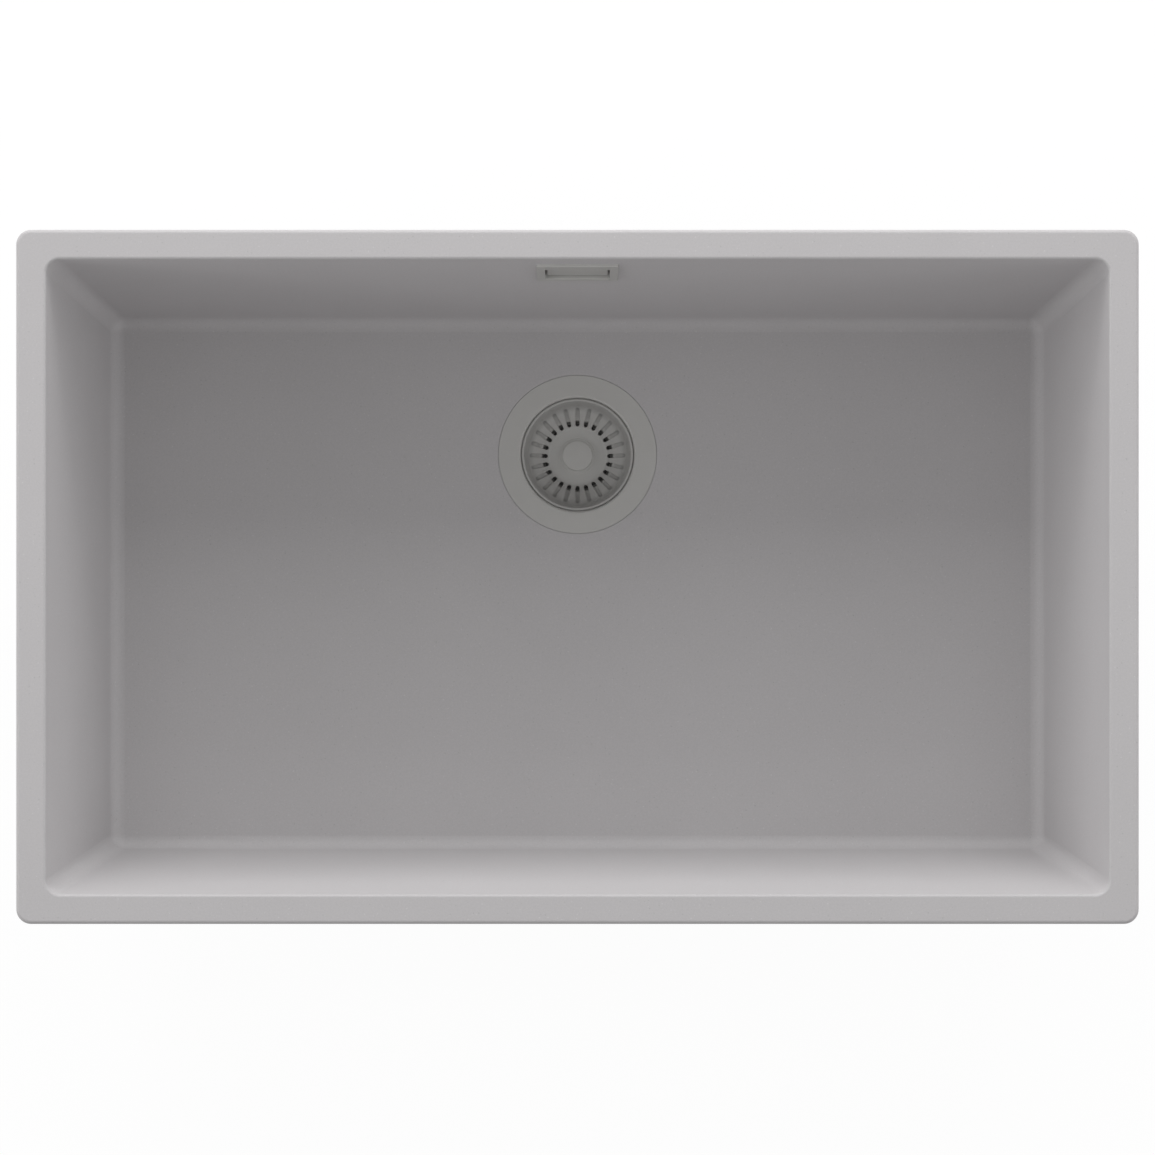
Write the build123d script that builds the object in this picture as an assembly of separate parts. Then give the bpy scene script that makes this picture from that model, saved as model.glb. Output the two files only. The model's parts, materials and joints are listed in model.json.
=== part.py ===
from build123d import *
import os
from math import cos, radians, sin, tan

# Undermount kitchen sink in moulded stone composite, with a basket strainer waste and an overflow.
# Millimetres. Origin at the middle of the rim's top face, +X to the right, +Y to the back wall, +Z up.

# Rim: the flat band that meets the underside of the worktop
RIM_LENGTH = 760.0
RIM_WIDTH = 470.0
RIM_BAND = 20.0
RIM_DEPTH = 18.0
RIM_CORNER_RADIUS = 10.0
RIM_EDGE_RADIUS = 2.5
RIM_UNDER_RADIUS = 3.0

# Bowl: as wide as the rim's band leaves it at the top, drafted down to a flat floor
BOWL_LENGTH = RIM_LENGTH - 2 * RIM_BAND
BOWL_WIDTH = RIM_WIDTH - 2 * RIM_BAND
BOWL_DEPTH = 200.0
BOWL_DRAFT = 7.0
BOWL_CORNER_RADIUS = 10.0
BOWL_EDGE_RADIUS = 2.0
FLOOR_CORNER_RADIUS = 10.6
FLOOR_RADIUS = 10.0
WALL = 9.0
FLOOR = 10.0

# Threaded inserts for the undermount clips, in two rectangles on the underside of the rim
CLIP_FROM_ENDS = 100.0
CLIP_FROM_SIDES = 115.0
CLIP_INSET = 6.5
INSERT_RADIUS = 3.5
INSERT_LENGTH = 12.0
INSERT_BORE_RADIUS = 2.5
INSERT_GROOVE = 0.5
INSERT_GROOVE_LENGTH = 3.0

# Waste hole in the floor, with a shallow recess for the flange
DRAIN_FROM_BACK = 97.0
WASTE_HOLE_RADIUS = 45.0
RECESS_DEPTH = 2.5
RECESS_CLEARANCE = 0.3

# Waste flange: pressed steel cup with a flat brim, a ledge for the basket, a cone that follows the
# basket's slope, a well for the stopper and a spoked hub
FLANGE_RADIUS = 57.0
FLANGE_SHEET = 1.5
FLANGE_SEAL = 1.0
SEAL_MARGIN = 2.0
THROAT_RADIUS = 41.0
LEDGE_DEPTH = 4.0
CUP_RADIUS = 39.0
CUP_SHOULDER_RADIUS = 38.2
CUP_BEND = 4.0
STRAINER_GAP = 2.9
WELL_RADIUS = 25.5
WELL_BEND = 2.0
SHEET_BEND = 1.0
WATERWAY_RADIUS = 19.5
HUB_RADIUS = 9.0
HUB_DROP = 11.0
HUB_BEND = 2.0
SPOKE_COUNT = 4
SPOKE_WIDTH = 5.0

# Strainer basket: pressed steel bowl with a rolled bead and a ring of slots
BASKET_SHEET = 1.0
BASKET_DEPTH = 21.6
BASKET_CLEARANCE = 0.6
BEAD_RADIUS = 1.0
BEAD_SETBACK = 0.8
SHOULDER_RADIUS = 36.0
SHOULDER_DROP = 9.0
BASKET_FLOOR_RADIUS = 21.0
SHOULDER_BEND = 8.0
BASKET_BEND = 4.0
SLOT_COUNT = 24
SLOT_WIDTH = 3.0
SLOT_INNER_RADIUS = 21.7
SLOT_OUTER_RADIUS = 35.0

# Lift knob in the middle of the basket: a waisted head on a flared foot
KNOB_RADIUS = 10.6
KNOB_HEIGHT = 6.6
KNOB_HEAD = 2.6
KNOB_NECK_RADIUS = 9.4
KNOB_FOOT_RADIUS = 12.8
KNOB_FOOT = 0.5
KNOB_FLARE = 2.6
KNOB_UNDER_RADIUS = 0.8
KNOB_EDGE_RADIUS = 1.4
KNOB_DOME_RADIUS = 60.0

# Post, seal and catch under the basket
STEM_RADIUS = 2.5
STEM_GRIP = 4.8
STEM_NECK_RADIUS = 2.0
STEM_FOOT = 1.2
WASHER_RADIUS = 15.0
WASHER_THICKNESS = 1.0
STOPPER_RADIUS = 23.8
STOPPER_HEIGHT = 7.0
STOPPER_WEB = 3.0
STOPPER_LIP = 3.0
NUT_ACROSS_FLATS = 8.0
NUT_HEIGHT = 3.2
CLIP_RADIUS = 3.1
CLIP_LENGTH = 4.8
CLIP_SPLIT = 0.8
SEAT_GAP = 0.3
RUNNING_CLEARANCE = 0.06

# Centre screw, whose head holds the post's catch
SCREW_RADIUS = 4.0
SCREW_LENGTH = 33.0
SCREW_HEAD_RADIUS = 7.0
SCREW_HEAD = 8.0
SOCKET_RADIUS = 3.3
SOCKET_DEPTH = 7.0
DRIVER_SLOT = 1.6
DRIVER_SLOT_DEPTH = 1.8
SCREW_HOLE_CLEARANCE = 0.2

# Waste body: moulded plastic under the floor, with the outlet thread and the overflow inlet
GASKET_THICKNESS = 4.0
GASKET_MARGIN = 1.0
BODY_WALL = 3.0
BODY_FLANGE_RADIUS = 57.5
BODY_CLEARANCE = 0.9
BODY_DEPTH = 39.0
BODY_CONE = 16.0
BODY_BEND = 8.0
BODY_NECK_BEND = 4.0
BODY_FLANGE_BEND = 2.0
OUTLET_RADIUS = 23.9
OUTLET_LENGTH = 30.0
GUSSET_COUNT = 12
GUSSET_THICKNESS = 2.4
GUSSET_HEIGHT = 11.0
GUSSET_MARGIN = 2.0
BOSS_WALL = 2.5
BOSS_LENGTH = 21.0
BOSS_RISE = 5.0
BOSS_RIB_COUNT = 3
BOSS_RIB = 3.0
BOSS_RIB_HEIGHT = 12.0
BUSH_RADIUS = 6.0
BUSH_LENGTH = 16.0
BUSH_COLLAR_RADIUS = 7.2
BUSH_COLLAR = 1.5

# Overflow plate on the back wall: a frame with a panel set back in its window, open at its lower edges
OVERFLOW_DROP = 39.5
PLATE_LENGTH = 56.0
PLATE_HEIGHT = 46.0
PLATE_THICKNESS = 1.7
PLATE_CORNER_RADIUS = 2.0
PLATE_EDGE_RADIUS = 0.5
WINDOW_LENGTH = 44.5
WINDOW_HEIGHT = 29.5
WINDOW_LOWERING = 2.0
WINDOW_CORNER_RADIUS = 1.0
SLEEVE_WALL = 1.5
SLEEVE_LENGTH = 8.0
SLEEVE_CLEARANCE = 0.5
BRIDGE_WIDTH = 18.0
BRIDGE_THICKNESS = 2.0
PANEL_THICKNESS = 1.6
PANEL_SETBACK = 2.6
PANEL_SLIT = 1.6
PANEL_HEAD = 8.0
PANEL_FIT = 0.3
PANEL_SILL_GAP = 1.8
PRONG_SPACING = 10.0
PRONG_WIDTH = 2.0
PRONG_HEIGHT = 6.0
PRONG_BARB = 0.6
PRONG_CLEARANCE = 0.2
PLATE_SCREW_SPACING = 18.0
PLATE_SCREW_RADIUS = 1.75
PLATE_SCREW_HEAD_RADIUS = 3.2
PLATE_SCREW_HEAD = 2.2
PLATE_SCREW_LENGTH = 14.0
PLATE_SCREW_CLEARANCE = 0.15

# Overflow housing behind the wall
HOUSING_GASKET = 2.0
HOUSING_FLANGE = 2.5
HOUSING_MARGIN = 5.0
HOUSING_CORNER_RADIUS = 5.0
HOOD_WALL = 2.0
HOOD_TOP_DEPTH = 6.0
HOOD_SLOPE_HEIGHT = 24.0
HOOD_BEND = 3.0
HOOD_MOUTH = 3.0
BOSS_RADIUS = 3.6

# Overflow pipe: flat rigid tube from the housing to the waste body, with a seal at each end
PIPE_WIDTH = 40.0
PIPE_DEPTH = 10.0
PIPE_WALL = 1.6
PIPE_CORNER_RADIUS = 3.0
PIPE_STANDOFF = 9.6
PIPE_BEND = 40.0
PIPE_FIT = 0.3
PIPE_LEVEL = 33.0
PIPE_ENTRY = 13.0
PIPE_SEAL = 2.0
PIPE_SEAL_LENGTH = 6.0
PIPE_SEAL_FIT = 0.1
UPPER_SOCKET_LENGTH = 22.0
LOWER_SOCKET_REACH = 64.0
SOCKET_WALL = 2.0

# How far a cutting shape runs past the face that it cuts
PAST = 5.0
NEAR = 0.01

# Levels and places that follow from the sizes above
DRAFT = radians(BOWL_DRAFT)
FLOOR_LEVEL = -BOWL_DEPTH
UNDERSIDE = FLOOR_LEVEL - FLOOR
DRAIN_Y = BOWL_WIDTH / 2 - BOWL_DEPTH * tan(DRAFT) - DRAIN_FROM_BACK
DRAIN = Pos(0, DRAIN_Y, 0)
FLANGE_TOP = FLOOR_LEVEL - RECESS_DEPTH + FLANGE_SEAL + FLANGE_SHEET
LEDGE_LEVEL = FLANGE_TOP - LEDGE_DEPTH
BEAD_LEVEL = LEDGE_LEVEL + SEAT_GAP + BEAD_RADIUS
BEAD_CIRCLE = THROAT_RADIUS - BASKET_CLEARANCE - BEAD_RADIUS
SHOULDER_LEVEL = BEAD_LEVEL - SHOULDER_DROP
BASKET_FLOOR = BEAD_LEVEL + BEAD_RADIUS - BASKET_DEPTH
WASHER_TOP = BASKET_FLOOR - BASKET_SHEET
STOPPER_TOP = WASHER_TOP - WASHER_THICKNESS
NUT_TOP = STOPPER_TOP - STOPPER_WEB
CUP_FLOOR = STOPPER_TOP - STOPPER_HEIGHT - SEAT_GAP
HUB_TOP = CUP_FLOOR - HUB_DROP
SOCKET_FLOOR = HUB_TOP + SCREW_HEAD - SOCKET_DEPTH
STEM_END = SOCKET_FLOOR + SEAT_GAP
CLIP_BOTTOM = STEM_END + STEM_FOOT + SEAT_GAP
BODY_TOP = UNDERSIDE - GASKET_THICKNESS
BODY_INNER_RADIUS = THROAT_RADIUS + FLANGE_SHEET + BODY_CLEARANCE
OUTLET_TOP = BODY_TOP - BODY_DEPTH - BODY_CONE
OUTLET_END = OUTLET_TOP - OUTLET_LENGTH
BOSS_TOP = OUTLET_TOP + BOSS_RISE
PIPE_LEVEL_Z = UNDERSIDE - PIPE_LEVEL

# The back wall's inner face at the overflow: local x along the wall, y up it, z into the bowl
WALL_PLANE = Plane(
    origin=(0, BOWL_WIDTH / 2 - OVERFLOW_DROP * tan(DRAFT), -OVERFLOW_DROP),
    x_dir=(1, 0, 0),
    z_dir=(0, -cos(DRAFT), sin(DRAFT)),
)
WINDOW = Pos(0, -WINDOW_LOWERING, 0)
SLEEVE_SIZE = (WINDOW_LENGTH + 2 * SLEEVE_WALL, WINDOW_HEIGHT + 2 * SLEEVE_WALL)
WALL_HOLE = (SLEEVE_SIZE[0] + 2 * SLEEVE_CLEARANCE, SLEEVE_SIZE[1] + 2 * SLEEVE_CLEARANCE)
HOUSING_FACE = -WALL - HOUSING_GASKET
PIPE_AXIS = -WALL - PIPE_STANDOFF
HOOD_BACK = PIPE_AXIS - PIPE_DEPTH / 2 - PIPE_FIT - SOCKET_WALL
HOOD_TOP = -WINDOW_LOWERING + WALL_HOLE[1] / 2 + HOOD_WALL
HOOD_BOTTOM = -WINDOW_LOWERING - WALL_HOLE[1] / 2 - HOOD_WALL

# The pipe's sockets, each along +Z: under the hood, in the wall's own axes, and on the waste body
HOOD_SOCKET = Plane(origin=(0, HOOD_BOTTOM, PIPE_AXIS), x_dir=(1, 0, 0), z_dir=(0, -1, 0)).location
BODY_SOCKET = Plane(origin=(0, DRAIN_Y, PIPE_LEVEL_Z), x_dir=(1, 0, 0), z_dir=(0, 1, 0)).location


def turned(*corners):
    """A solid of revolution about Z from (radius, height, rounding) corners of a closed outline."""
    points = [(r, z) for r, z, rounding in corners]
    roundings = [rounding for r, z, rounding in corners]
    outline = FilletPolyline(*points, radius=roundings, close=True)
    return revolve(Plane.XZ * make_face(outline), Axis.Z)


def pressed(sheet, *stations):
    """A turned shell of even thickness along (radius, height, bend) stations of its middle line."""
    points = [(r, z) for r, z, bend in stations]
    bends = [bend for r, z, bend in stations[1:-1]]
    path = FilletPolyline(*points, radius=bends)
    return revolve(Plane.XZ * trace(path, sheet), Axis.Z)


def ring(outer, inner, top, thickness):
    """A flat ring about Z below the given level."""
    return Pos(0, 0, top) * extrude(Circle(outer) - Circle(inner), -thickness)


def bowl_section(depth, grow):
    """The bowl's rounded rectangle at a depth below the rim, grown outward by a wall."""
    drawn_in = 2 * depth * tan(DRAFT)
    radius = BOWL_CORNER_RADIUS + (FLOOR_CORNER_RADIUS - BOWL_CORNER_RADIUS) * depth / BOWL_DEPTH
    outline = RectangleRounded(
        BOWL_LENGTH - drawn_in + 2 * grow, BOWL_WIDTH - drawn_in + 2 * grow, radius + grow
    )
    return Pos(0, 0, -depth) * outline


def drafted(top_depth, bottom_depth, grow, rounding):
    """A drafted block with a rounded bottom edge."""
    block = loft([bowl_section(top_depth, grow), bowl_section(bottom_depth, grow)], ruled=True)
    return fillet(block.faces().sort_by(Axis.Z)[0].edges(), rounding)


def clip_places():
    """The places of the clip inserts on the underside of the rim."""
    side_x = RIM_LENGTH / 2 - CLIP_INSET
    side_y = RIM_WIDTH / 2 - CLIP_INSET
    along = GridLocations(RIM_LENGTH - 2 * CLIP_FROM_ENDS, 2 * side_y, 2, 2)
    across = GridLocations(2 * side_x, RIM_WIDTH - 2 * CLIP_FROM_SIDES, 2, 2)
    return [Pos(0, 0, -RIM_DEPTH) * place for place in [*along, *across]]


def sink_bowl():
    rim = extrude(RectangleRounded(RIM_LENGTH, RIM_WIDTH, RIM_CORNER_RADIUS), -RIM_DEPTH)
    shell = drafted(0, BOWL_DEPTH + FLOOR, WALL / cos(DRAFT), FLOOR_RADIUS + WALL)
    bowl = rim + shell
    under = bowl.faces().filter_by_position(Axis.Z, -RIM_DEPTH - NEAR, -RIM_DEPTH + NEAR)[0]
    bowl = fillet(under.inner_wires()[0].edges(), RIM_UNDER_RADIUS)
    bowl -= drafted(-PAST, BOWL_DEPTH, 0, FLOOR_RADIUS)
    bowl = fillet(bowl.faces().sort_by(Axis.Z)[-1].outer_wire().edges(), RIM_EDGE_RADIUS)
    bowl = fillet(bowl.faces().sort_by(Axis.Z)[-1].inner_wires()[0].edges(), BOWL_EDGE_RADIUS)
    recess = Circle(FLANGE_RADIUS + RECESS_CLEARANCE)
    bowl -= DRAIN * Pos(0, 0, FLOOR_LEVEL - RECESS_DEPTH) * extrude(recess, RECESS_DEPTH + PAST)
    bowl -= DRAIN * Pos(0, 0, UNDERSIDE - PAST) * extrude(Circle(WASTE_HOLE_RADIUS), FLOOR + 2 * PAST)
    opening = RectangleRounded(*WALL_HOLE, WINDOW_CORNER_RADIUS + SLEEVE_WALL)
    bowl -= WALL_PLANE * Pos(0, 0, PAST) * WINDOW * extrude(opening, -WALL - 2 * PAST)
    pockets = [place * Pos(0, 0, INSERT_LENGTH) * extrude(Circle(INSERT_RADIUS), -INSERT_LENGTH - PAST)
               for place in clip_places()]
    return bowl - pockets


def clip_inserts():
    middle = INSERT_LENGTH / 2
    groove = INSERT_RADIUS - INSERT_GROOVE
    insert = turned(
        (INSERT_BORE_RADIUS, 0, 0),
        (INSERT_RADIUS, 0, 0),
        (INSERT_RADIUS, middle - INSERT_GROOVE_LENGTH / 2, 0),
        (groove, middle - INSERT_GROOVE_LENGTH / 2, 0),
        (groove, middle + INSERT_GROOVE_LENGTH / 2, 0),
        (INSERT_RADIUS, middle + INSERT_GROOVE_LENGTH / 2, 0),
        (INSERT_RADIUS, INSERT_LENGTH, 0),
        (INSERT_BORE_RADIUS, INSERT_LENGTH, 0),
    )
    return Compound(children=[place * insert for place in clip_places()])


def cone_level(radius):
    """The level of the cup's cone at a radius, an even drop below the basket's slope."""
    slope = (SHOULDER_LEVEL - BASKET_FLOOR) / (SHOULDER_RADIUS - BASKET_FLOOR_RADIUS)
    return SHOULDER_LEVEL - STRAINER_GAP + (radius - SHOULDER_RADIUS) * slope


def waste_flange():
    half = FLANGE_SHEET / 2
    hole = SCREW_RADIUS + SCREW_HOLE_CLEARANCE
    well = WELL_RADIUS + half
    cup = pressed(
        FLANGE_SHEET,
        (FLANGE_RADIUS, FLANGE_TOP - half, 0),
        (THROAT_RADIUS + half, FLANGE_TOP - half, SHEET_BEND),
        (THROAT_RADIUS + half, LEDGE_LEVEL - half, SHEET_BEND),
        (CUP_RADIUS + half, LEDGE_LEVEL - half, SHEET_BEND),
        (CUP_SHOULDER_RADIUS, cone_level(CUP_SHOULDER_RADIUS), CUP_BEND),
        (well, cone_level(well), WELL_BEND),
        (well, CUP_FLOOR - half, WELL_BEND),
        (WATERWAY_RADIUS, CUP_FLOOR - half, HUB_BEND),
        (HUB_RADIUS, HUB_TOP - half, HUB_BEND),
        (hole, HUB_TOP - half, 0),
    )
    spokes = [Rot(0, 0, i * 360 / SPOKE_COUNT) * Pos(WATERWAY_RADIUS / 2, 0)
              * Rectangle(WATERWAY_RADIUS + PAST, SPOKE_WIDTH) for i in range(SPOKE_COUNT)]
    ways = Circle(WATERWAY_RADIUS - HUB_BEND) - Circle(HUB_RADIUS + HUB_BEND) - spokes
    cup -= Pos(0, 0, HUB_TOP - PAST) * extrude(ways, HUB_DROP + 2 * PAST)
    return DRAIN * cup


def flange_seal():
    top = FLANGE_TOP - FLANGE_SHEET
    return DRAIN * ring(FLANGE_RADIUS - SEAL_MARGIN, WASTE_HOLE_RADIUS, top, FLANGE_SEAL)


def body_gasket():
    return DRAIN * ring(BODY_FLANGE_RADIUS - GASKET_MARGIN, WASTE_HOLE_RADIUS, UNDERSIDE, GASKET_THICKNESS)


def basket_cup():
    half = BASKET_SHEET / 2
    hole = STEM_RADIUS + RUNNING_CLEARANCE
    floor = BASKET_FLOOR - half
    shell = pressed(
        BASKET_SHEET,
        (BEAD_CIRCLE - BEAD_SETBACK, BEAD_LEVEL, 0),
        (SHOULDER_RADIUS, SHOULDER_LEVEL, SHOULDER_BEND),
        (BASKET_FLOOR_RADIUS, floor, BASKET_BEND),
        (hole, floor, 0),
    )
    bead = revolve(Plane.XZ * Pos(BEAD_CIRCLE, BEAD_LEVEL) * Circle(BEAD_RADIUS), Axis.Z)
    reach = SLOT_OUTER_RADIUS - SLOT_INNER_RADIUS
    slot = Pos(SLOT_INNER_RADIUS + reach / 2, 0) * SlotOverall(reach, SLOT_WIDTH)
    turn = 360 / SLOT_COUNT
    slots = Sketch() + [Rot(0, 0, 90 + i * turn) * slot for i in range(SLOT_COUNT)]
    cut = Pos(0, 0, BASKET_FLOOR - PAST) * extrude(slots, BASKET_DEPTH + PAST)
    return DRAIN * (shell + bead - cut)


def lift_knob():
    top = BASKET_FLOOR + KNOB_HEIGHT
    head = top - KNOB_HEAD
    foot = BASKET_FLOOR + KNOB_FOOT
    knob = turned(
        (0, BASKET_FLOOR, 0),
        (KNOB_FOOT_RADIUS, BASKET_FLOOR, 0),
        (KNOB_FOOT_RADIUS, foot, KNOB_FOOT / 2),
        (KNOB_NECK_RADIUS, foot, KNOB_FLARE),
        (KNOB_NECK_RADIUS, head, KNOB_UNDER_RADIUS),
        (KNOB_RADIUS, head, KNOB_UNDER_RADIUS),
        (KNOB_RADIUS, top, KNOB_EDGE_RADIUS),
        (0, top, 0),
    )
    knob &= Pos(0, 0, top - KNOB_DOME_RADIUS) * Sphere(KNOB_DOME_RADIUS)
    knob -= Pos(0, 0, BASKET_FLOOR) * extrude(Circle(STEM_RADIUS), STEM_GRIP)
    return DRAIN * knob


def basket_stem():
    clip_top = CLIP_BOTTOM + CLIP_LENGTH + SEAT_GAP
    stem = turned(
        (0, STEM_END, 0),
        (STEM_RADIUS, STEM_END, SEAT_GAP),
        (STEM_RADIUS, STEM_END + STEM_FOOT, 0),
        (STEM_NECK_RADIUS, STEM_END + STEM_FOOT, 0),
        (STEM_NECK_RADIUS, clip_top, 0),
        (STEM_RADIUS, clip_top, 0),
        (STEM_RADIUS, BASKET_FLOOR + STEM_GRIP, 0),
        (0, BASKET_FLOOR + STEM_GRIP, 0),
    )
    return DRAIN * stem


def seal_washer():
    return DRAIN * ring(WASHER_RADIUS, STEM_RADIUS + RUNNING_CLEARANCE, WASHER_TOP, WASHER_THICKNESS)


def stopper_seal():
    bottom = STOPPER_TOP - STOPPER_HEIGHT
    lip = STOPPER_RADIUS - STOPPER_LIP
    seal = turned(
        (STEM_RADIUS, STOPPER_TOP, 0),
        (WASHER_RADIUS, STOPPER_TOP, 0),
        (STOPPER_RADIUS, bottom + STOPPER_LIP / 2, 0),
        (STOPPER_RADIUS, bottom, 0),
        (lip, bottom, 0),
        (WASHER_RADIUS - STOPPER_LIP, NUT_TOP, 0),
        (STEM_RADIUS, NUT_TOP, 0),
    )
    return DRAIN * seal


def stem_nut():
    flats = RegularPolygon(NUT_ACROSS_FLATS / 2, 6, major_radius=False)
    nut = extrude(flats - Circle(STEM_RADIUS), -NUT_HEIGHT)
    return DRAIN * Pos(0, 0, NUT_TOP) * nut


def stem_clip():
    bore = STEM_NECK_RADIUS + RUNNING_CLEARANCE
    sleeve = Circle(CLIP_RADIUS) - Circle(bore)
    sleeve -= Pos(0, CLIP_RADIUS / 2 + bore / 2) * Rectangle(CLIP_SPLIT, CLIP_RADIUS)
    return DRAIN * Pos(0, 0, CLIP_BOTTOM) * extrude(sleeve, CLIP_LENGTH)


def centre_screw():
    top = HUB_TOP + SCREW_HEAD
    screw = turned(
        (0, SOCKET_FLOOR, 0),
        (SOCKET_RADIUS, SOCKET_FLOOR, 0),
        (SOCKET_RADIUS, top, 0),
        (SCREW_HEAD_RADIUS, top, SEAT_GAP),
        (SCREW_HEAD_RADIUS, HUB_TOP, 0),
        (SCREW_RADIUS, HUB_TOP, 0),
        (SCREW_RADIUS, HUB_TOP - SCREW_LENGTH, SEAT_GAP),
        (0, HUB_TOP - SCREW_LENGTH, 0),
    )
    slot = Pos(0, 0, top) * Rectangle(2 * SCREW_HEAD_RADIUS + PAST, DRIVER_SLOT)
    return DRAIN * (screw - extrude(slot, -DRIVER_SLOT_DEPTH))


def screw_bush():
    bush = turned(
        (SCREW_RADIUS, BOSS_TOP + BUSH_COLLAR, 0),
        (BUSH_COLLAR_RADIUS, BOSS_TOP + BUSH_COLLAR, 0),
        (BUSH_COLLAR_RADIUS, BOSS_TOP, 0),
        (BUSH_RADIUS, BOSS_TOP, 0),
        (BUSH_RADIUS, BOSS_TOP - BUSH_LENGTH, 0),
        (SCREW_RADIUS, BOSS_TOP - BUSH_LENGTH, 0),
    )
    return DRAIN * bush


def pipe_section(grow):
    """The flat pipe's rounded section, grown or shrunk by an even amount."""
    return RectangleRounded(PIPE_WIDTH + 2 * grow, PIPE_DEPTH + 2 * grow, PIPE_CORNER_RADIUS + grow)


def pipe_socket(length):
    """A socket for the flat pipe along +Z, with a wider seal pocket at its mouth, and its bore."""
    pocket = length - PIPE_SEAL_LENGTH
    grown = PIPE_FIT + SOCKET_WALL
    outside = extrude(pipe_section(grown), length)
    outside += Pos(0, 0, pocket - SOCKET_WALL) * extrude(
        pipe_section(PIPE_SEAL + grown - PIPE_FIT), PIPE_SEAL_LENGTH + SOCKET_WALL)
    bore = extrude(pipe_section(PIPE_FIT), length)
    bore += Pos(0, 0, pocket) * extrude(pipe_section(PIPE_SEAL), PIPE_SEAL_LENGTH + PAST)
    return outside, bore


def pipe_seal(length):
    """The rubber ring in the pocket of a socket of that length."""
    section = pipe_section(PIPE_SEAL - PIPE_SEAL_FIT) - pipe_section(PIPE_SEAL_FIT)
    return Pos(0, 0, length - PIPE_SEAL_LENGTH) * extrude(section, PIPE_SEAL_LENGTH)


def waste_body():
    half = BODY_WALL / 2
    wall = BODY_INNER_RADIUS + half
    body = pressed(
        BODY_WALL,
        (BODY_FLANGE_RADIUS, BODY_TOP - half, 0),
        (wall, BODY_TOP - half, BODY_FLANGE_BEND),
        (wall, BODY_TOP - BODY_DEPTH, BODY_BEND),
        (OUTLET_RADIUS - half, OUTLET_TOP, BODY_NECK_BEND),
        (OUTLET_RADIUS - half, OUTLET_END, 0),
    )
    inside = turned(
        (0, BODY_TOP, 0),
        (BODY_INNER_RADIUS, BODY_TOP, 0),
        (BODY_INNER_RADIUS, BODY_TOP - BODY_DEPTH, 0),
        (0, BODY_TOP - BODY_DEPTH, 0),
    )
    socket, bore = pipe_socket(LOWER_SOCKET_REACH)
    inlet = BODY_SOCKET * socket
    inlet_bore = BODY_SOCKET * bore
    body = DRAIN * body
    body += inlet - DRAIN * inside
    body -= inlet_bore
    under = BODY_TOP - BODY_WALL
    outer = BODY_INNER_RADIUS + BODY_WALL
    gusset = Polygon(
        (outer - half, under),
        (BODY_FLANGE_RADIUS - GUSSET_MARGIN, under),
        (outer, under - GUSSET_HEIGHT),
        (outer - half, under - GUSSET_HEIGHT),
        align=None,
    )
    web = extrude(Plane.XZ * gusset, GUSSET_THICKNESS / 2, both=True)
    turn = 360 / GUSSET_COUNT
    body += [DRAIN * Rot(0, 0, (i + 0.5) * turn) * web for i in range(GUSSET_COUNT)]
    boss = Pos(0, 0, BOSS_TOP) * extrude(Circle(BUSH_RADIUS + BOSS_WALL), -BOSS_LENGTH)
    rib_reach = OUTLET_RADIUS - half
    rib = Pos(rib_reach / 2, 0, OUTLET_TOP - BOSS_RIB_HEIGHT / 2) * Box(rib_reach, BOSS_RIB, BOSS_RIB_HEIGHT)
    rib_turn = 360 / BOSS_RIB_COUNT
    boss += [Rot(0, 0, 90 + i * rib_turn) * rib for i in range(BOSS_RIB_COUNT)]
    boss -= Pos(0, 0, BOSS_TOP) * extrude(Circle(BUSH_RADIUS), -BUSH_LENGTH)
    boss -= Pos(0, 0, BOSS_TOP) * extrude(Circle(SCREW_RADIUS + SCREW_HOLE_CLEARANCE), -BOSS_LENGTH)
    return body + DRAIN * boss


def overflow_frame():
    plate = extrude(RectangleRounded(PLATE_LENGTH, PLATE_HEIGHT, PLATE_CORNER_RADIUS), PLATE_THICKNESS)
    plate = fillet(plate.faces().sort_by(Axis.Z)[-1].edges(), PLATE_EDGE_RADIUS)
    sleeve = RectangleRounded(*SLEEVE_SIZE, WINDOW_CORNER_RADIUS + SLEEVE_WALL)
    plate += WINDOW * extrude(sleeve, -SLEEVE_LENGTH)
    window = RectangleRounded(WINDOW_LENGTH, WINDOW_HEIGHT, WINDOW_CORNER_RADIUS)
    plate -= WINDOW * Pos(0, 0, PLATE_THICKNESS) * extrude(window, -SLEEVE_LENGTH - PLATE_THICKNESS)
    bridge = Rectangle(BRIDGE_WIDTH, WINDOW_HEIGHT)
    bridge -= GridLocations(0, PLATE_SCREW_SPACING, 1, 2) * Circle(PLATE_SCREW_RADIUS + PLATE_SCREW_CLEARANCE)
    slot = Rectangle(PRONG_WIDTH + PRONG_BARB + PRONG_CLEARANCE, PRONG_HEIGHT + 2 * PRONG_CLEARANCE)
    bridge -= GridLocations(PRONG_SPACING, 0, 2, 1) * slot
    plate += WINDOW * Pos(0, 0, -SLEEVE_LENGTH) * extrude(bridge, BRIDGE_THICKNESS)
    return WALL_PLANE * plate


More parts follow.
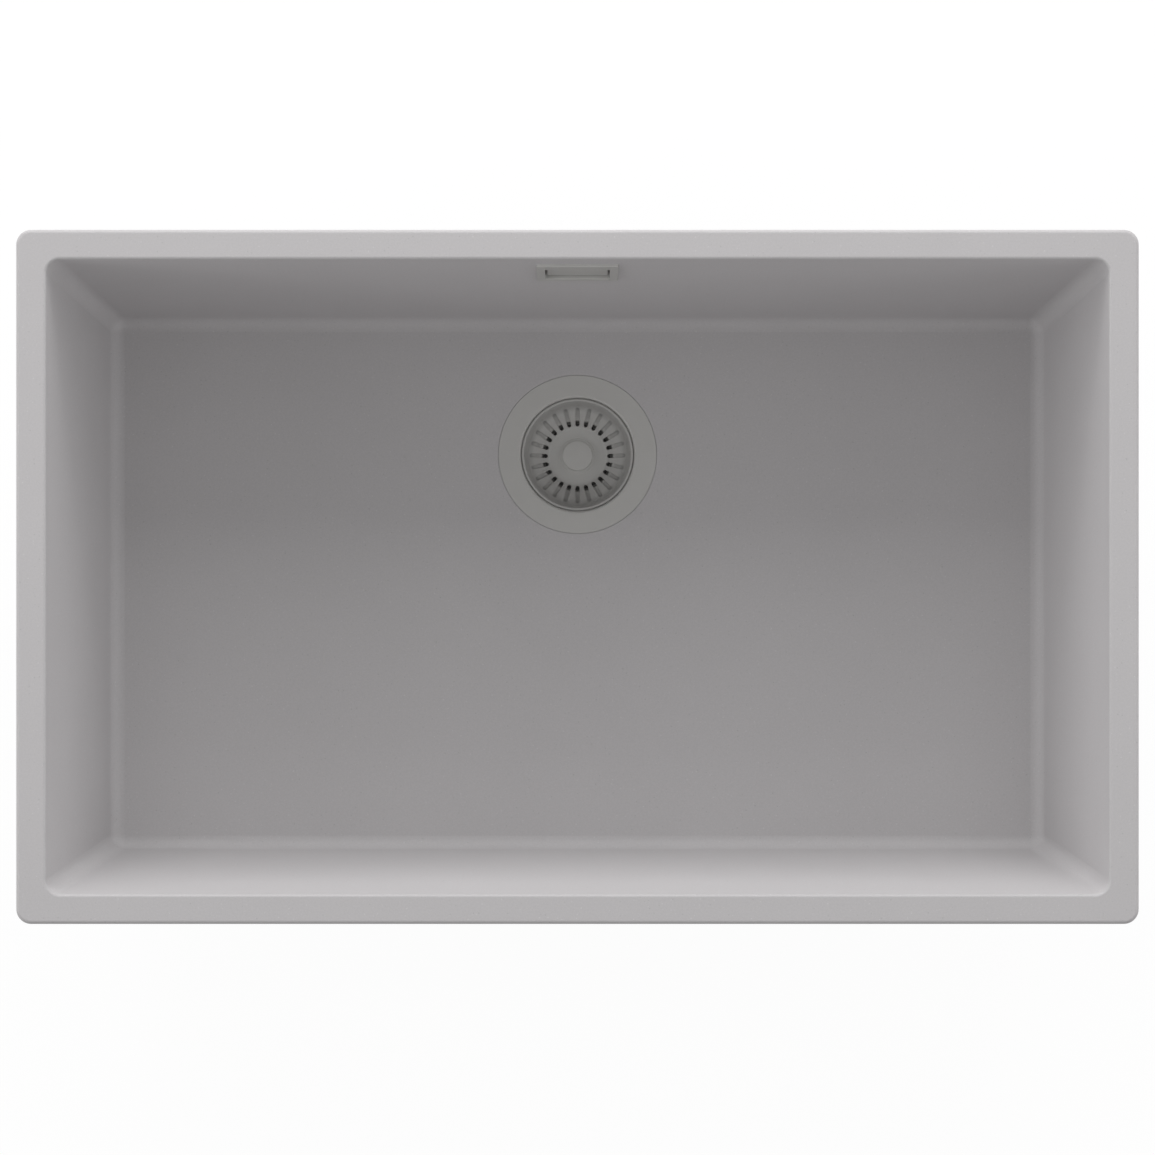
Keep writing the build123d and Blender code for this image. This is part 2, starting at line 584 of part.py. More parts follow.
def overflow_panel():
    front = PLATE_THICKNESS - PANEL_SETBACK
    top = WINDOW_HEIGHT / 2 - PANEL_FIT
    height = WINDOW_HEIGHT - PANEL_FIT - PANEL_SILL_GAP
    face = Pos(0, top - height / 2) * RectangleRounded(
        WINDOW_LENGTH - 2 * PANEL_SLIT, height, WINDOW_CORNER_RADIUS)
    face += Pos(0, top - PANEL_HEAD / 2) * RectangleRounded(
        WINDOW_LENGTH - 2 * PANEL_FIT, PANEL_HEAD, WINDOW_CORNER_RADIUS)
    panel = Pos(0, 0, front) * extrude(face, -PANEL_THICKNESS)
    back = front - PANEL_THICKNESS
    reach = back + SLEEVE_LENGTH + PRONG_CLEARANCE + PRONG_BARB
    shank = PRONG_SPACING / 2 - (PRONG_BARB + PRONG_CLEARANCE) / 2
    for side in (-1, 1):
        prong = Pos(side * shank, 0, back - reach / 2) * Box(PRONG_WIDTH, PRONG_HEIGHT, reach)
        barb = Pos(side * (shank + PRONG_BARB / 2), 0, -SLEEVE_LENGTH - PRONG_CLEARANCE - PRONG_BARB / 2)
        panel += prong + barb * Box(PRONG_WIDTH + PRONG_BARB, PRONG_HEIGHT, PRONG_BARB)
    return WALL_PLANE * WINDOW * panel


def overflow_screws():
    seat = BRIDGE_THICKNESS - SLEEVE_LENGTH
    screw = turned(
        (0, seat + PLATE_SCREW_HEAD, 0),
        (PLATE_SCREW_HEAD_RADIUS, seat + PLATE_SCREW_HEAD, PLATE_SCREW_HEAD / 2),
        (PLATE_SCREW_HEAD_RADIUS, seat, 0),
        (PLATE_SCREW_RADIUS, seat, 0),
        (PLATE_SCREW_RADIUS, seat - PLATE_SCREW_LENGTH, 0),
        (0, seat - PLATE_SCREW_LENGTH, 0),
    )
    places = GridLocations(0, PLATE_SCREW_SPACING, 1, 2)
    return Compound(children=[WALL_PLANE * WINDOW * place * screw for place in places])


def housing_outline():
    """The outline of the housing's flange and gasket around the hole in the wall."""
    return RectangleRounded(
        WALL_HOLE[0] + 2 * HOUSING_MARGIN, WALL_HOLE[1] + 2 * HOUSING_MARGIN, HOUSING_CORNER_RADIUS)


def overflow_gasket():
    hole = RectangleRounded(*WALL_HOLE, WINDOW_CORNER_RADIUS + SLEEVE_WALL)
    gasket = extrude(housing_outline() - hole, -HOUSING_GASKET)
    return WALL_PLANE * WINDOW * Pos(0, 0, -WALL) * gasket


def overflow_housing():
    side = FilletPolyline(
        (HOOD_TOP, HOUSING_FACE),
        (HOOD_TOP, HOUSING_FACE - HOOD_TOP_DEPTH),
        (HOOD_TOP - HOOD_SLOPE_HEIGHT, HOOD_BACK),
        (HOOD_BOTTOM, HOOD_BACK),
        (HOOD_BOTTOM, HOUSING_FACE),
        radius=[0, HOOD_BEND, HOOD_BEND, 0, 0],
        close=True,
    )
    profile = make_face(side)
    half_width = WALL_HOLE[0] / 2 + HOOD_WALL
    hood = extrude(Plane.YZ * profile, half_width, both=True)
    hood += WINDOW * Pos(0, 0, HOUSING_FACE) * extrude(housing_outline(), -HOUSING_FLANGE)
    socket, bore = pipe_socket(UPPER_SOCKET_LENGTH)
    hood += HOOD_SOCKET * socket
    hollow = extrude(Plane.YZ * offset(profile, -HOOD_WALL), half_width - HOOD_WALL, both=True)
    mouth = RectangleRounded(*WALL_HOLE, WINDOW_CORNER_RADIUS + SLEEVE_WALL)
    hollow += WINDOW * Pos(0, 0, HOUSING_FACE) * extrude(mouth, -HOOD_MOUTH)
    throat = extrude(pipe_section(PIPE_FIT), HOOD_WALL + 2 * PAST)
    hollow += HOOD_SOCKET * Pos(0, 0, -HOOD_WALL - PAST) * throat
    hood -= hollow
    hood -= HOOD_SOCKET * bore
    boss_front = -SLEEVE_LENGTH - SEAT_GAP
    boss = Pos(0, 0, boss_front) * extrude(Circle(BOSS_RADIUS), HOOD_BACK - boss_front)
    pilot = Pos(0, 0, boss_front) * extrude(
        Circle(PLATE_SCREW_RADIUS), BRIDGE_THICKNESS - PLATE_SCREW_LENGTH - SEAT_GAP)
    places = [WINDOW * spot for spot in GridLocations(0, PLATE_SCREW_SPACING, 1, 2)]
    envelope = extrude(Plane.YZ * profile, half_width, both=True)
    through = WINDOW * Pos(0, 0, boss_front) * extrude(mouth, HOUSING_FACE - boss_front)
    bosses = Part() + [spot * boss for spot in places]
    hood += bosses & (envelope + through)
    hood -= [spot * pilot for spot in places]
    return WALL_PLANE * hood


def overflow_pipe():
    start = WALL_PLANE * Pos(0, HOOD_BOTTOM + PIPE_SEAL, PIPE_AXIS)
    top = start.position
    fall = top.Z - PIPE_LEVEL_Z
    corner = Vector(0, top.Y - fall * tan(DRAFT), PIPE_LEVEL_Z)
    end = Vector(0, DRAIN_Y + LOWER_SOCKET_REACH - PIPE_ENTRY, PIPE_LEVEL_Z)
    path = FilletPolyline(top, corner, end, radius=PIPE_BEND)
    mouth = Plane(origin=top, x_dir=(1, 0, 0), z_dir=corner - top)
    outside = sweep(mouth * pipe_section(0), path)
    inside = sweep(mouth * pipe_section(-PIPE_WALL), path)
    return outside - inside


def upper_pipe_seal():
    return WALL_PLANE * HOOD_SOCKET * pipe_seal(UPPER_SOCKET_LENGTH)


def lower_pipe_seal():
    return BODY_SOCKET * pipe_seal(LOWER_SOCKET_REACH)


PIECES = [
    sink_bowl,
    clip_inserts,
    waste_flange,
    flange_seal,
    body_gasket,
    waste_body,
    screw_bush,
    centre_screw,
    basket_cup,
    lift_knob,
    basket_stem,
    seal_washer,
    stopper_seal,
    stem_nut,
    stem_clip,
    overflow_frame,
    overflow_panel,
    overflow_screws,
    overflow_gasket,
    overflow_housing,
    overflow_pipe,
    upper_pipe_seal,
    lower_pipe_seal,
]

os.makedirs("parts", exist_ok=True)
for piece in PIECES:
    export_step(piece(), f"parts/{piece.__name__}.step")
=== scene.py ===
# %% [markdown]
# # A stone-composite sink, dressed for the studio
#
# The real object is a bowl moulded from quartz and resin, with a basket waste in its floor, an overflow in
# its back wall and a flat pipe that joins the two. The CAD model already holds all of that at its real size.
# This lesson leaves every solid where it is and adds what a solid can't show: finishes, pressed edges,
# threads and light. Lengths are metres in the CAD frame, whose origin is the middle of the rim's top face.
# +X runs along the long side, +Y points to the back wall and +Z points up.

# %% Load the frame
import json
from math import atan2, cos, pi, radians, sin, tan

import bmesh
import bpy
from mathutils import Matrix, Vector


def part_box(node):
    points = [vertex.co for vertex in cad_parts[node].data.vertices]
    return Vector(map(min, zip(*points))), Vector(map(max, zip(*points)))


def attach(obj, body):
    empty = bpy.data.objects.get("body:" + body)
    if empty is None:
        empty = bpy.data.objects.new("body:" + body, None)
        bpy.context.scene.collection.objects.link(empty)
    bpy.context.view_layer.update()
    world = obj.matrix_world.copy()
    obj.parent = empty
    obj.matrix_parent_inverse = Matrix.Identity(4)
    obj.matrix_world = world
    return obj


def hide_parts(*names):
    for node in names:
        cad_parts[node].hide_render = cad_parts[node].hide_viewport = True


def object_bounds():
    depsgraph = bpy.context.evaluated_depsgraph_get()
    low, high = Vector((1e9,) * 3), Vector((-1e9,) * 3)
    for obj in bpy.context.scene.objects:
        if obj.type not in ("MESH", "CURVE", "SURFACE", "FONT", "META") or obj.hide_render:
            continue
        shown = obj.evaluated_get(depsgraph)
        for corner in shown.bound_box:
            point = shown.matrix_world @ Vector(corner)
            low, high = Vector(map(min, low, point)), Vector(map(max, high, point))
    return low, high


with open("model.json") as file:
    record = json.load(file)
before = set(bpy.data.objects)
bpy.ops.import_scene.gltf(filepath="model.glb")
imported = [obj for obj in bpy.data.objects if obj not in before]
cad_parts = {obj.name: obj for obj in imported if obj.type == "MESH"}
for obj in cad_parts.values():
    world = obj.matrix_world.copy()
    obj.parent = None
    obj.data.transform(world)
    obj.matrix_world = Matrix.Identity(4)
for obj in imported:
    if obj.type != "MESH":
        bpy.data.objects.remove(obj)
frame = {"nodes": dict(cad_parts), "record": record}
nodes = frame["nodes"]
cad_low, cad_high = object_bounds()
scene = bpy.context.scene
scene.view_settings.view_transform = "Standard"
MM = 0.001
print("CAD nodes:", len(nodes), "size in mm:", [round(side / MM, 1) for side in cad_high - cad_low])

# %% [markdown]
# ## The camera
#
# The picture was taken from straight above, a little in front of the middle, so the back wall shows more than
# the front one. A long lens three metres away keeps the sides of the bowl steep. The camera's own axes
# already look down with +Y at the top, so it needs a place and no turn. Moving the picture up with the lens
# shift, instead of tilting the camera, keeps the rim a true rectangle.

# %% Camera
EYE = Vector((0, -78 * MM, 3015 * MM))
VIEW_WIDTH = 781.5 * MM
SENSOR = 36.0
LENS_SHIFT = 0.0992

camera = bpy.data.objects.new("camera", bpy.data.cameras.new("camera"))
camera.data.sensor_width = SENSOR
camera.data.lens = SENSOR * EYE.z / VIEW_WIDTH
camera.data.shift_y = LENS_SHIFT
camera.location = EYE
scene.collection.objects.link(camera)
scene.camera = camera
print("lens in mm:", round(camera.data.lens, 1))

# %% [markdown]
# ## Writing shaders as sums
#
# A shader can be drawn as boxes and lines, or written. Written sums are easier to read and to change, so one
# small class stands for a socket. Adding or multiplying two of them makes a Math node, a Vector Math node or,
# for colours, a Mix node, since a Math node would turn a colour grey. Every other node comes from `make`.

# %% A socket that knows arithmetic
MIX_FIRST, MIX_SECOND, MIX_RESULT = 6, 7, 2


class Wire:
    """One shader socket, or the empty start of a tree, for use in Python expressions."""

    def __init__(self, tree, socket=None):
        self.tree = tree
        self.socket = socket

    def make(self, kind, settings=None, inputs=None, output=0):
        """Adds a node: its settings first, then the values or links of its sockets."""
        node = self.tree.nodes.new("ShaderNode" + kind)
        for name, value in (settings or {}).items():
            setattr(node, name, value)
        for name, value in (inputs or {}).items():
            if isinstance(value, Wire):
                self.tree.links.new(value.socket, node.inputs[name])
            else:
                node.inputs[name].default_value = value
        return Wire(self.tree, node.outputs[output]) if node.outputs else None

    def mix(self, way, share, first, second):
        """Two colours put together in that way, as far as the share says."""
        return self.make("Mix", {"data_type": "RGBA", "blend_type": way},
                         {0: share, MIX_FIRST: first, MIX_SECOND: second}, MIX_RESULT)

    def sum(self, operation, first, second):
        """First and second joined by the node that suits what they carry."""
        kinds = {side.socket.type for side in (first, second) if isinstance(side, Wire)}
        if "RGBA" in kinds:
            return self.mix(operation, 1.0, first, second)
        kind = "VectorMath" if "VECTOR" in kinds else "Math"
        return self.make(kind, {"operation": operation}, {0: first, 1: second})

    def __add__(self, other):
        return self.sum("ADD", self, other)

    def __radd__(self, other):
        return self.sum("ADD", other, self)

    def __sub__(self, other):
        return self.sum("SUBTRACT", self, other)

    def __rsub__(self, other):
        return self.sum("SUBTRACT", other, self)

    def __mul__(self, other):
        return self.sum("MULTIPLY", self, other)

    def __rmul__(self, other):
        return self.sum("MULTIPLY", other, self)

    def between(self, low, high):
        """This value stretched so that low becomes 0 and high becomes 1, and held there."""
        return self.make("MapRange", {"interpolation_type": "SMOOTHSTEP"},
                         {"Value": self, "From Min": low, "From Max": high})

    def tint(self, dark, light):
        """A colour between dark and light, where this value says how far."""
        return self.mix("MIX", self, dark, light)

    def noise(self, size, layers):
        """Soft noise at this place, in lumps of about that size with finer layers on them."""
        return self.make("TexNoise", {"noise_dimensions": "3D"},
                         {"Vector": self, "Scale": 1 / size, "Detail": layers})

    def cells(self, size, output):
        """A field of scattered cells at this place, about that far apart."""
        return self.make("TexVoronoi", {"feature": "F1"}, {"Vector": self, "Scale": 1 / size}, output)

    def parts(self):
        """This vector's x, y and z."""
        split = self.make("SeparateXYZ", None, {"Vector": self}).socket.node
        return [Wire(self.tree, socket) for socket in split.outputs]


print("sums that become nodes: add, subtract, multiply")

# %% Colours and finishes
NEUTRAL = (1.0, 1.0, 1.0)
MIDDLE = 0.5


def grey(level, cast=NEUTRAL):
    """A near-neutral colour: a level with a slight cast of red, green and blue."""
    return (*(level * share for share in cast), 1.0)


def shades(levels, cast=NEUTRAL):
    """The near-neutral colours of several levels."""
    return [grey(level, cast) for level in levels]


def weighed(*layers):
    """A tone that swings about the middle by (noise, weight) layers."""
    tone = MIDDLE
    for noise, weight in layers:
        tone = tone + (noise - MIDDLE) * weight
    return tone


def new_finish(name):
    """An empty material with the place on the piece to write its shader from."""
    material = bpy.data.materials.new(name)
    material.use_nodes = True
    material.node_tree.nodes.clear()
    start = Wire(material.node_tree)
    return material, start.make("TexCoord", output="Object")


def surface(place, sockets):
    """Closes a shader: a Principled surface with these sockets, joined to the output."""
    shader = place.make("BsdfPrincipled", None, sockets)
    place.make("OutputMaterial", None, {"Surface": shader})


def relief(place, height, depth, strength):
    """A bumped normal from a height of 0 to 1 that stands for that many metres."""
    return place.make("Bump", None, {"Height": height, "Distance": depth, "Strength": strength})


FINISHES = {}
print("a colour at half level:", grey(MIDDLE))

# %% [markdown]
# ## The studio
#
# The background is white and even, so the floor and the world are white to the camera and to reflections.
# Under that white the floor is a matt sheet that takes the sink's shadow. It gives little light back, because
# a bright floor would wash out the outside of the bowl. To every other ray the world is a soft dome.

# %% Floor and dome
FLOOR_SIZE = 40.0
FLOOR_WHITE = 0.95
FLOOR_SHEET = 0.35
FLOOR_SHADE = 0.9
DOME_LEVEL = 0.43
PAPER_LEVEL = 1.0


def seen(start):
    """1 for rays from the camera, a mirror or glass, and 0 for the rays that carry light."""
    path = start.make("LightPath").socket.node
    looks = [Wire(start.tree, path.outputs[f"Is {kind} Ray"])
             for kind in ("Camera", "Glossy", "Transmission")]
    return start.make("Clamp", None, {"Value": looks[0] + looks[1] + looks[2]})


def white_floor(level):
    """The sheet under the sink: white where it is looked at, and darker by a little in the shadow."""
    bpy.ops.mesh.primitive_plane_add(size=FLOOR_SIZE, location=(0, 0, level))
    floor = bpy.context.object
    floor.name = "studio_floor"
    material, place = new_finish("studio_floor")
    looks = seen(place)
    matt = place.make("BsdfDiffuse", None, {"Color": looks.tint(grey(FLOOR_SHEET), grey(FLOOR_SHADE))})
    glow = place.make("Emission", None, {"Color": grey(PAPER_LEVEL), "Strength": PAPER_LEVEL})
    mixed = place.make("MixShader", None, {0: looks * FLOOR_WHITE, 1: matt, 2: glow})
    place.make("OutputMaterial", None, {"Surface": mixed})
    floor.data.materials.append(material)


def white_world():
    """White paper to the rays that look, and a soft dome to the rays that carry light."""
    world = bpy.data.worlds.new("studio")
    world.use_nodes = True
    world.node_tree.nodes.clear()
    start = Wire(world.node_tree)
    dome, paper = (start.make("Background", None, {"Color": grey(PAPER_LEVEL), "Strength": strength})
                   for strength in (DOME_LEVEL, PAPER_LEVEL))
    mixed = start.make("MixShader", None, {0: seen(start), 1: dome, 2: paper})
    start.make("OutputWorld", None, {"Surface": mixed})
    scene.world = world


white_floor(cad_low.z)
white_world()
print("floor at", round(cad_low.z / MM, 1), "mm, dome level", DOME_LEVEL)

# %% [markdown]
# Large lamps do the modelling: the light comes mostly from behind and above, which leaves the back wall
# dark, the floor in a soft slope of shade and the front wall bright. A lamp's level says how bright a
# surface turned straight to it would be, with 1 as the level at which a colour looks as it is written.

# %% Lamps
LAMPS = {
    "lamp_back_high": {"place": (0.0, 2.5, 1.7), "size": (2.4, 1.4), "level": 0.414},
    "lamp_back_low": {"place": (0.0, 2.8, 0.9), "size": (2.4, 1.2), "level": 0.686},
    "lamp_left_high": {"place": (-2.5, 0.0, 1.5), "size": (1.8, 1.4), "level": 0.078},
    "lamp_right_high": {"place": (2.5, 0.0, 1.5), "size": (1.8, 1.4), "level": 0.076},
    "lamp_left_low": {"place": (-2.8, 0.0, 0.8), "size": (1.8, 1.2), "level": 0.377},
    "lamp_right_low": {"place": (2.8, 0.0, 0.8), "size": (1.8, 1.2), "level": 0.239},
    "lamp_front": {"place": (0.0, -2.5, 1.6), "size": (2.4, 1.4), "level": 0.073},
}


def soft_lamp(name, place, size, level):
    """A rectangular lamp turned to the middle of the sink."""
    lamp = bpy.data.objects.new(name, bpy.data.lights.new(name, "AREA"))
    lamp.data.shape = "RECTANGLE"
    lamp.data.size, lamp.data.size_y = size
    lamp.location = place
    lamp.rotation_euler = (-lamp.location).to_track_quat("-Z", "Y").to_euler()
    lamp.data.energy = level * pi ** 2 * lamp.location.length_squared
    lamp.visible_camera = False
    scene.collection.objects.link(lamp)


for lamp_name, lamp_facts in LAMPS.items():
    soft_lamp(lamp_name, **lamp_facts)
print("lamps:", list(LAMPS))

# %% [markdown]
# ## Stone composite
#
# The bowl is about four fifths quartz sand in acrylic resin. Its grains are a fraction of a millimetre, so
# from a step away the grey looks even with a faint sparkle, and close up it is a field of lighter and darker
# specks. Three sizes of noise make clouds, grain and sand, and scattered cells add single larger specks.
#
# Only the inside and the rim come from the polished half of the mould, so the outside is paler, drier and
# coarser. The rim's top, which faces straight up into the light, has painted shade that leaves it a little
# darker than the skin. The place on the piece tells the three apart.

# %% Polished inside, raw outside
BOWL_HALF = Vector((360 * MM, 215 * MM))
BOWL_DRAFT = 7
BOWL_SLOPE = tan(radians(BOWL_DRAFT))
BOWL_DEPTH = 200 * MM
HALF_WALL = 4.5 * MM
UNDER_RIM = (-15 * MM, -17 * MM)


def outside_of_bowl(place):
    """1 on the unpolished outside of the bowl, 0 on its inside and on the rim."""
    x, y, z = place.parts()
    reach = [along.make("Math", {"operation": "ABSOLUTE"}, {0: along}) for along in (x, y)]
    past = [side - half - z * BOWL_SLOPE for side, half in zip(reach, BOWL_HALF)]
    wall = past[0].make("Math", {"operation": "MAXIMUM"}, {0: past[0], 1: past[1]})
    beyond = wall.between(HALF_WALL, HALF_WALL + MM) * z.between(*UNDER_RIM)
    below = z.between(-BOWL_DEPTH - HALF_WALL, -BOWL_DEPTH - HALF_WALL - MM)
    return beyond.make("Math", {"operation": "MAXIMUM"}, {0: beyond, 1: below})


print("half opening in mm:", [round(half / MM, 1) for half in BOWL_HALF], "draft:", BOWL_DRAFT, "degrees")

# %% Specks
SPECK_SPACING = 3.2 * MM
SPECK_LEAST, SPECK_MORE = 0.06, 0.08
SPECK_EDGE = 0.05
SPECK_SHARE = 0.3
LIGHT_SPECK, LIGHT_CHANCE = 0.62, (0.62, 0.64)
DARK_SPECK, DARK_CHANCE = 0.24, (0.3, 0.32)


def with_specks(place, colour):
    """A colour with single lighter and darker specks scattered over it."""
    spot = place.cells(SPECK_SPACING, "Distance")
    chance = place.cells(SPECK_SPACING, "Color").parts()
    size = SPECK_LEAST + chance[1] * SPECK_MORE
    speck = 1 - (spot - size).between(0.0, SPECK_EDGE)
    light = speck * chance[0].between(*LIGHT_CHANCE) * SPECK_SHARE
    dark = speck * (1 - chance[0].between(*DARK_CHANCE)) * SPECK_SHARE
    return dark.tint(light.tint(colour, grey(LIGHT_SPECK)), grey(DARK_SPECK))


print("specks about every", round(SPECK_SPACING / MM, 1), "mm")

# %% Composite
STONE_LEVELS, STONE_CAST = (0.405, 0.475), (1.016, 0.988, 1.0)
RAW_LEVELS, RAW_CAST = (0.39, 0.48), (1.012, 1.0, 0.985)
RAW_SHARE = 0.75
SAND, SAND_WEIGHT, SAND_RISE = 0.45 * MM, 1.1, 0.6
GRAIN, GRAIN_WEIGHT, GRAIN_RISE = 1.3 * MM, 0.9, 0.4
CLOUD, CLOUD_WEIGHT = 60 * MM, 0.25
RAW_LUMP, RAW_RISE = 4 * MM, 2
# painted shade on the rim's top, fading out from 1 to 3 mm below it
RIM_SHADE_SPAN, RIM_SHADE_LOSS = (-3 * MM, -1 * MM), 0.055
STONE_ROUGHNESS, GRAIN_ROUGHNESS, RAW_ROUGHNESS = 0.52, 0.12, 0.22
STONE_RELIEF, STONE_BUMP = 0.05 * MM, 0.6
STONE_GLOSS = 0.25


def composite():
    material, place = new_finish("composite")
    raw = outside_of_bowl(place)
    sand = place.noise(SAND, 3)
    grain = place.noise(GRAIN, 2)
    cloud = place.noise(CLOUD, 3)
    tone = weighed((sand, SAND_WEIGHT), (grain, GRAIN_WEIGHT), (cloud, CLOUD_WEIGHT))
    skin = with_specks(place, tone.tint(*shades(STONE_LEVELS, STONE_CAST)))
    colour = (raw * RAW_SHARE).tint(skin, tone.tint(*shades(RAW_LEVELS, RAW_CAST)))
    # painted shade on the rim's top
    rim_shade = place.parts()[2].between(*RIM_SHADE_SPAN)
    height = sand * SAND_RISE + grain * GRAIN_RISE + raw * place.noise(RAW_LUMP, 4) * RAW_RISE
    surface(place, {
        "Base Color": colour * (1 - rim_shade * RIM_SHADE_LOSS),
        "Roughness": STONE_ROUGHNESS + grain * GRAIN_ROUGHNESS + raw * RAW_ROUGHNESS,
        "Normal": relief(place, height, STONE_RELIEF, STONE_BUMP),
        "Specular IOR Level": STONE_GLOSS,
    })
    return material


FINISHES["composite"] = composite()
print("finish: composite, with", len(FINISHES["composite"].node_tree.nodes), "nodes")

# %% [markdown]
# ## Coated steel
#
# Flange, basket, knob and overflow are steel with a baked satin coating close to the sink's own colour, a
# touch greener. A sprayed coat is never quite flat: it dries with a faint orange-peel ripple, and its pigment
# settles in soft clouds. Both are small, so they mostly show as a broken edge on the highlights.
#
# The colour also carries painted light and shade, so the same shader is made once for each shape. On the
# turned pieces it changes with the distance from the waste's axis. On the basket, painted light lightens the
# floor around the knob, and painted shade darkens the steep wall and the bead. On the knob, painted light
# lightens it a little, and its foot around the head more. In the flange, painted light lightens the cup's
# floor and the ledge beside the bead, and painted shade darkens the cup's wall behind the outer ends of the
# slots.
# Each list below says how light the colour starts, and then (from, to, how light) in millimetres. The
# overflow's plate and panel have a coat a shade darker, with painted light on the faces that look up, most at
# the front of the sill.

# %% Painted light and shade by shape
# painted light above 1 and painted shade below 1, by radius about the waste's axis
BASKET_PAINTED_LIGHT = [1.33, (11.5, 14.5, 1.13), (15.0, 25.0, 0.99), (31.0, 34.5, 0.8), (37.8, 39.0, 0.88)]
KNOB_PAINTED_LIGHT = [1.04, (10.0, 11.0, 1.25)]
FLANGE_PAINTED_LIGHT = [1.35, (24.0, 29.0, 1.0), (31.5, 34.5, 0.66), (38.0, 39.2, 1.3), (40.9, 41.7, 1.0)]
# painted light on the overflow's faces that look up, most on the front of its sill
FACING_UP = (0.5, 0.9)
LEDGE_PAINTED_LIGHT = 0.17
SILL_PAINTED_LIGHT = 0.44
SILL_SPAN = (2.6 * MM, 0.9 * MM)
waste_low, waste_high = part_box("waste_flange")
DRAIN = (waste_low + waste_high) / 2
plate_low, plate_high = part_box("overflow_frame")


def from_axis(place):
    """The distance from the waste's axis, and the height."""
    x, y, z = (place - (DRAIN.x, DRAIN.y, 0.0)).parts()
    flat = place.make("CombineXYZ", None, {"X": x, "Y": y})
    return place.make("VectorMath", {"operation": "LENGTH"}, {0: flat}, "Value"), z


def round_painted_light(place, start, *steps):
    """How light a turned piece's colour is painted: painted light and shade in steps away from the waste's
    axis.
    """
    radius = from_axis(place)[0]
    light = start
    for near, far, level in steps:
        light = light + radius.between(near * MM, far * MM) * (level - start)
        start = level
    return light


def plate_painted_light(place):
    """Painted light on the overflow's coat: lighter on faces that look up, most at the front of the sill."""
    up = place.make("NewGeometry", output="Normal").parts()[2].between(*FACING_UP)
    y, z = place.parts()[1:]
    sill = z.between(plate_high.z, plate_low.z) * (y - plate_low.y).between(*SILL_SPAN)
    return 1 + up * (LEDGE_PAINTED_LIGHT + sill * (SILL_PAINTED_LIGHT - LEDGE_PAINTED_LIGHT))


print("waste's axis in mm:", [round(along / MM, 1) for along in DRAIN.xy])

# %% Coated steel
STEEL_CAST = (1.012, 1.0, 0.968)
STEEL_LEVEL, PLATE_LEVEL = 0.425, 0.385
COAT_SPREAD = 0.06
COAT_CLOUD, COAT_CLOUD_WEIGHT = 14 * MM, 0.6
PIGMENT, PIGMENT_WEIGHT = 0.25 * MM, 0.5
PEEL, PEEL_RELIEF = 0.9 * MM, 0.012 * MM
COAT_ROUGHNESS, PEEL_ROUGHNESS = 0.4, 0.1
COAT_GLOSS = 0.45
SOFT_BUMP = 0.5
# each coat: its level, and the painted light and shade it takes by shape
COATS = {
    "coated_basket_painted_light": (STEEL_LEVEL, round_painted_light, *BASKET_PAINTED_LIGHT),
    "coated_knob_painted_light": (STEEL_LEVEL, round_painted_light, *KNOB_PAINTED_LIGHT),
    "coated_flange_painted_light": (STEEL_LEVEL, round_painted_light, *FLANGE_PAINTED_LIGHT),
    "coated_plate_painted_light": (PLATE_LEVEL, plate_painted_light),
}


def coated_steel(name, level, coat, *steps):
    material, place = new_finish(name)
    peel = place.noise(PEEL, 2)
    cloud = place.noise(COAT_CLOUD, 3)
    pigment = place.noise(PIGMENT, 2)
    tone = weighed((cloud, COAT_CLOUD_WEIGHT), (pigment, PIGMENT_WEIGHT))
    colour = tone.tint(*shades([level * (1 - COAT_SPREAD), level * (1 + COAT_SPREAD)], STEEL_CAST))
    # coat paints light and shade into the colour, by shape
    surface(place, {
        "Base Color": colour * coat(place, *steps),
        "Roughness": COAT_ROUGHNESS + peel * PEEL_ROUGHNESS,
        "Normal": relief(place, peel, PEEL_RELIEF, SOFT_BUMP),
        "Specular IOR Level": COAT_GLOSS,
    })
    return material


for coat_name, recipe in COATS.items():
    FINISHES[coat_name] = coated_steel(coat_name, *recipe)
print("coats:", list(COATS))

# %% [markdown]
# ## Turned steel and brass
#
# The screws, stem, nut and washer come off a lathe, which leaves fine rings around their axis. All but the
# overflow's screws share the waste's axis, so rings are noise that changes with radius and height only. The
# inserts and the bush are machined brass with the same rings and a little brown tarnish in the hollows.

# %% Turned metals
RING_PITCH, RING_RELIEF = 0.12 * MM, 0.01 * MM
STAIN = 3 * MM
METAL_TONE, RING_TONE, STAIN_TONE = 0.35, 0.3, 0.7
RING_ROUGHNESS, STAIN_ROUGHNESS = 0.1, 0.08
STEEL_LEVELS, STEEL_ROUGHNESS = (0.52, 0.66), 0.2
BRASS_COLOURS, BRASS_ROUGHNESS = [(0.5, 0.35, 0.15, 1), (0.79, 0.62, 0.32, 1)], 0.22


def lathe_rings(place, pitch):
    """Fine rings about the waste's axis, from 0 to 1."""
    radius, z = from_axis(place)
    return place.make("CombineXYZ", None, {"X": radius, "Y": z}).noise(pitch, 2)


def turned_metal(name, dark, light, roughness):
    material, place = new_finish(name)
    rings = lathe_rings(place, RING_PITCH)
    stain = place.noise(STAIN, 4)
    tone = METAL_TONE + rings * RING_TONE + (stain - MIDDLE) * STAIN_TONE
    surface(place, {
        "Base Color": tone.tint(dark, light),
        "Metallic": 1.0,
        "Roughness": roughness + rings * RING_ROUGHNESS + stain * STAIN_ROUGHNESS,
        "Normal": relief(place, rings, RING_RELIEF, SOFT_BUMP),
    })
    return material


FINISHES["bare_steel"] = turned_metal("bare_steel", *shades(STEEL_LEVELS, RAW_CAST), STEEL_ROUGHNESS)
FINISHES["brass"] = turned_metal("brass", *BRASS_COLOURS, BRASS_ROUGHNESS)
print("finish: bare_steel, brass")

